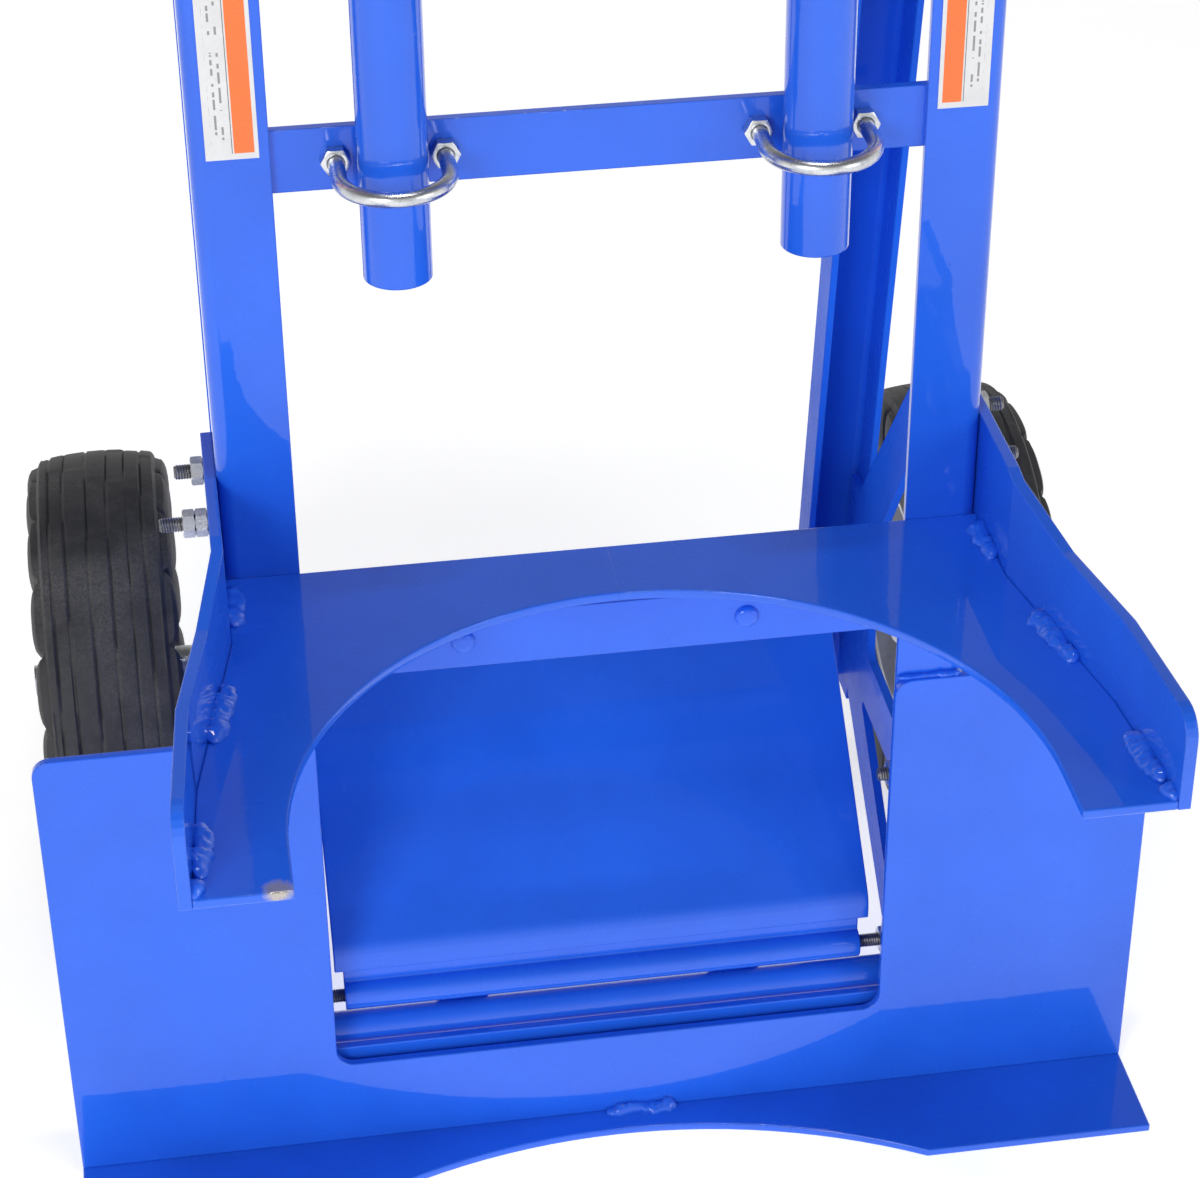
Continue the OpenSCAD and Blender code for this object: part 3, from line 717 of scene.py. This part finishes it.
def make_ubolts():
    shape, nuts = Shape(), Shape()
    leg_end_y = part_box("ubolts")[1].y
    bar_low, bar_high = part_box("crossbar_clamp")
    leg_ys = (bar_low.y - 2 * MM, UBOLT_Y * 0.5, UBOLT_Y * 0.9)
    for z in (node_middle_z("crossbar_clamp"), node_middle_z("crossbar_top")):
        for side in SIDES:
            centre = Vector((side * UBOLT_TUBE_X, UBOLT_Y, z))
            rings = [leg_ring(centre.x + UBOLT_R, y, z, -1) for y in leg_ys]
            bend = 36
            for i in range(bend + 1):
                angle = math.pi * i / bend
                out = Vector((math.cos(angle), -math.sin(angle), 0))
                flatten = 1 - 0.05 * math.sin(angle) ** 2
                spot = centre + out * UBOLT_R
                rings.append(circle_ring(spot, -out, Vector((0, 0, 1)), UBOLT_ROD * flatten, 20))
            rings += [leg_ring(centre.x - UBOLT_R, y, z, 1) for y in reversed(leg_ys)]
            shape.tube(rings)
            for leg in (-UBOLT_R, UBOLT_R):
                x = centre.x + leg
                add_thread(shape, (x, bar_low.y - 14 * MM, z), (x, leg_end_y, z), UBOLT_ROD)
                for y in (bar_low.y - nut_t, bar_high.y, bar_high.y + nut_t):
                    add_nut(nuts, (x, y, z), (0, 1, 0), nut_t, nut_r, UBOLT_ROD)
    piece_from(shape, "ubolts_bent", ZINC, "frame", ("ubolts",), 50)
    piece_from(nuts, "ubolt_nuts_chamfered", ZINC, "frame", ("ubolt_nuts",))


def make_crossbar_bolts():
    """Low domed rivet heads on the lower crossbar, with their nuts behind it."""
    shape = Shape()
    low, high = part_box("crossbar_lower")
    z = (low.z + high.z) / 2
    for side in SIDES:
        x = side * 75.5 * MM
        u, v, _ = frame_along((0, -1, 0))
        rings = []
        for radius, out in ((6.5, 0.0), (6.4, 0.9), (5.9, 2.0), (4.6, 3.0), (2.6, 3.4), (0.8, 3.5)):
            rings.append(circle_ring((x, low.y - out * MM, z), u, v, radius * MM, 28))
        shape.tube(rings)
        add_rod(shape, (x, low.y, z), (x, high.y + nut_t + 3 * MM, z), bolt_r)
        add_nut(shape, (x, high.y, z), (0, 1, 0), nut_t, nut_r, bolt_r)
    piece_from(shape, "crossbar_bolts_domed", BLUE, "frame", ("crossbar_bolts",), 50)


make_wing_fasteners()
make_inward_bolts("toe_pivot_bolts", 125 * MM)
make_inward_bolts("gusset_bolts", 155.5 * MM)
make_gusset_nuts()
make_ubolts()
make_crossbar_bolts()


# ---------------------------------------------------------------- welds

# From y to y, on the cradle along each wing
WING_WELDS = ((-0.004, -0.041), (-0.092, -0.138), (-0.200, -0.240))


def along_wing(side, y0, y1, inset):
    steps = 6
    path = []
    for i in range(steps + 1):
        y = y0 + (y1 - y0) * i / steps
        path.append((side * (wing_x(y) - inset), y, cradle_z + 0.001))
    return path


def make_welds():
    shape = Shape()
    seed = 1
    for side in SIDES:
        lean = (-side * 0.5, 0, 1)
        for y0, y1 in WING_WELDS:
            add_bead(shape, along_wing(side, y0, y1, 0.003), 0.0056, 0.0042, seed, lean)
            second_run = along_wing(side, y0 - 0.004, y1 + 0.012, 0.006)
            add_bead(shape, second_run, 0.0038, 0.0026, seed + 40, lean)
            seed += 1
        tip = side * (wing_x(-cradle_reach) - 0.002)
        tip_run = [(tip, -0.240, cradle_z), (tip, -cradle_reach + 0.001, cradle_z)]
        add_bead(shape, tip_run, 0.0050, 0.0050, seed + 60, lean)
        y = blade_high.y - 0.001
        rail_run = [(side * 0.158, y, blade_top), (side * 0.194, y, blade_top)]
        add_bead(shape, rail_run, 0.0026, 0.0022, seed)
        seed += 1
        for bar in ("crossbar_clamp", "crossbar_middle", "crossbar_top", "crossbar_lower"):
            low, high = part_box(bar)
            for z in (low.z, high.z):
                bar_run = [(side * (rail_inner_x + reach), high.y, z) for reach in (0.003, 0.032)]
                add_bead(shape, bar_run, 0.0030, 0.0030, seed)
                seed += 1
    nose_run = [(x, -0.002, plate_t + 0.001) for x in (-0.004, 0.038)]
    add_bead(shape, nose_run, 0.0048, 0.0042, 90, (0, -1, 1))
    for x in (-0.255, 0.250):
        back_run = [(x, 0.007, plate_t), (x + 0.035, 0.007, plate_t)]
        add_bead(shape, back_run, 0.0040, 0.0040, int(x * 1000) + 900)
    piece_from(shape, "weld_beads", BLUE_WELD, "frame", (), 60)


make_welds()


# ---------------------------------------------------------------- floor, light and camera

def make_floor():
    mesh = bpy.data.meshes.new("floor")
    half = 9.0
    mesh.from_pydata(
        [(-half, -half, 0), (half, -half, 0), (half, half, 0), (-half, half, 0)], [], [(0, 1, 2, 3)]
    )
    floor = bpy.data.objects.new("floor", mesh)
    bpy.context.scene.collection.objects.link(floor)
    material, shader, add, connect = new_material("floor_paper")
    place = object_place(add)
    tone = noise_value(add, place, 2.0, 3.0)
    connect(shader.inputs["Base Color"], mix_colour(add, tone, grey(0.90), grey(0.87)))
    connect(shader.inputs["Emission Color"], mix_colour(add, tone, grey(1.0), grey(0.97)))
    shader.inputs["Emission Strength"].default_value = 0.63
    shader.inputs["Roughness"].default_value = 0.9
    shader.inputs["Specular IOR Level"].default_value = 0.1
    set_material(floor, material)


def add_softbox(name, place, target, width, height, power):
    light = bpy.data.lights.new(name, "AREA")
    light.shape = "RECTANGLE"
    light.size = width
    light.size_y = height
    light.energy = power
    lamp = bpy.data.objects.new(name, light)
    lamp.location = place
    lamp.rotation_euler = (Vector(target) - Vector(place)).to_track_quat("-Z", "Y").to_euler()
    bpy.context.scene.collection.objects.link(lamp)


def make_world():
    """A pale room, darker overhead."""
    world = bpy.data.worlds.new("pale_room")
    bpy.context.scene.world = world
    world.use_nodes = True
    tree = world.node_tree
    background = tree.nodes["Background"]
    coordinates = tree.nodes.new("ShaderNodeTexCoord")
    split = tree.nodes.new("ShaderNodeSeparateXYZ")
    tree.links.new(coordinates.outputs["Generated"], split.inputs[0])
    height = tree.nodes.new("ShaderNodeValToRGB")
    tree.links.new(split.outputs["Z"], height.inputs["Fac"])
    elements = height.color_ramp.elements
    elements[0].position, elements[0].color = 0.20, grey(1.0)
    elements[1].position, elements[1].color = 0.85, grey(0.12)
    middle = elements.new(0.50)
    middle.color = grey(0.42)
    tree.links.new(height.outputs["Color"], background.inputs["Color"])
    background.inputs["Strength"].default_value = 0.90


def make_camera():
    """The photograph's viewpoint."""
    data = bpy.data.cameras.new("camera")
    data.sensor_fit = "HORIZONTAL"
    data.sensor_width = 36.0
    data.lens = 93.37
    data.clip_end = 60.0
    camera = bpy.data.objects.new("camera", data)
    right = Vector((0.98835792, -0.15195387, -0.00765817))
    up = Vector((0.08910378, 0.53729270, 0.83867579))
    back = right.cross(up)
    turn = Matrix((right, up, back)).transposed()
    camera.matrix_world = Matrix.Translation((-0.20315, -1.33847, 1.24565)) @ turn.to_4x4()
    bpy.context.scene.collection.objects.link(camera)
    bpy.context.scene.camera = camera


make_floor()
make_world()
add_softbox("key_softbox", (-1.9, -3.0, 1.7), (0, 0, 0.5), 1.3, 1.3, 48)
add_softbox("fill_softbox", (2.5, -2.3, 1.5), (0, 0, 0.5), 1.0, 1.6, 20)
add_softbox("spark", (0.05, -0.3, 2.7), (0.05, 0, 0.1), 0.5, 0.1, 11)
make_camera()
bpy.context.scene.view_settings.view_transform = "Standard"
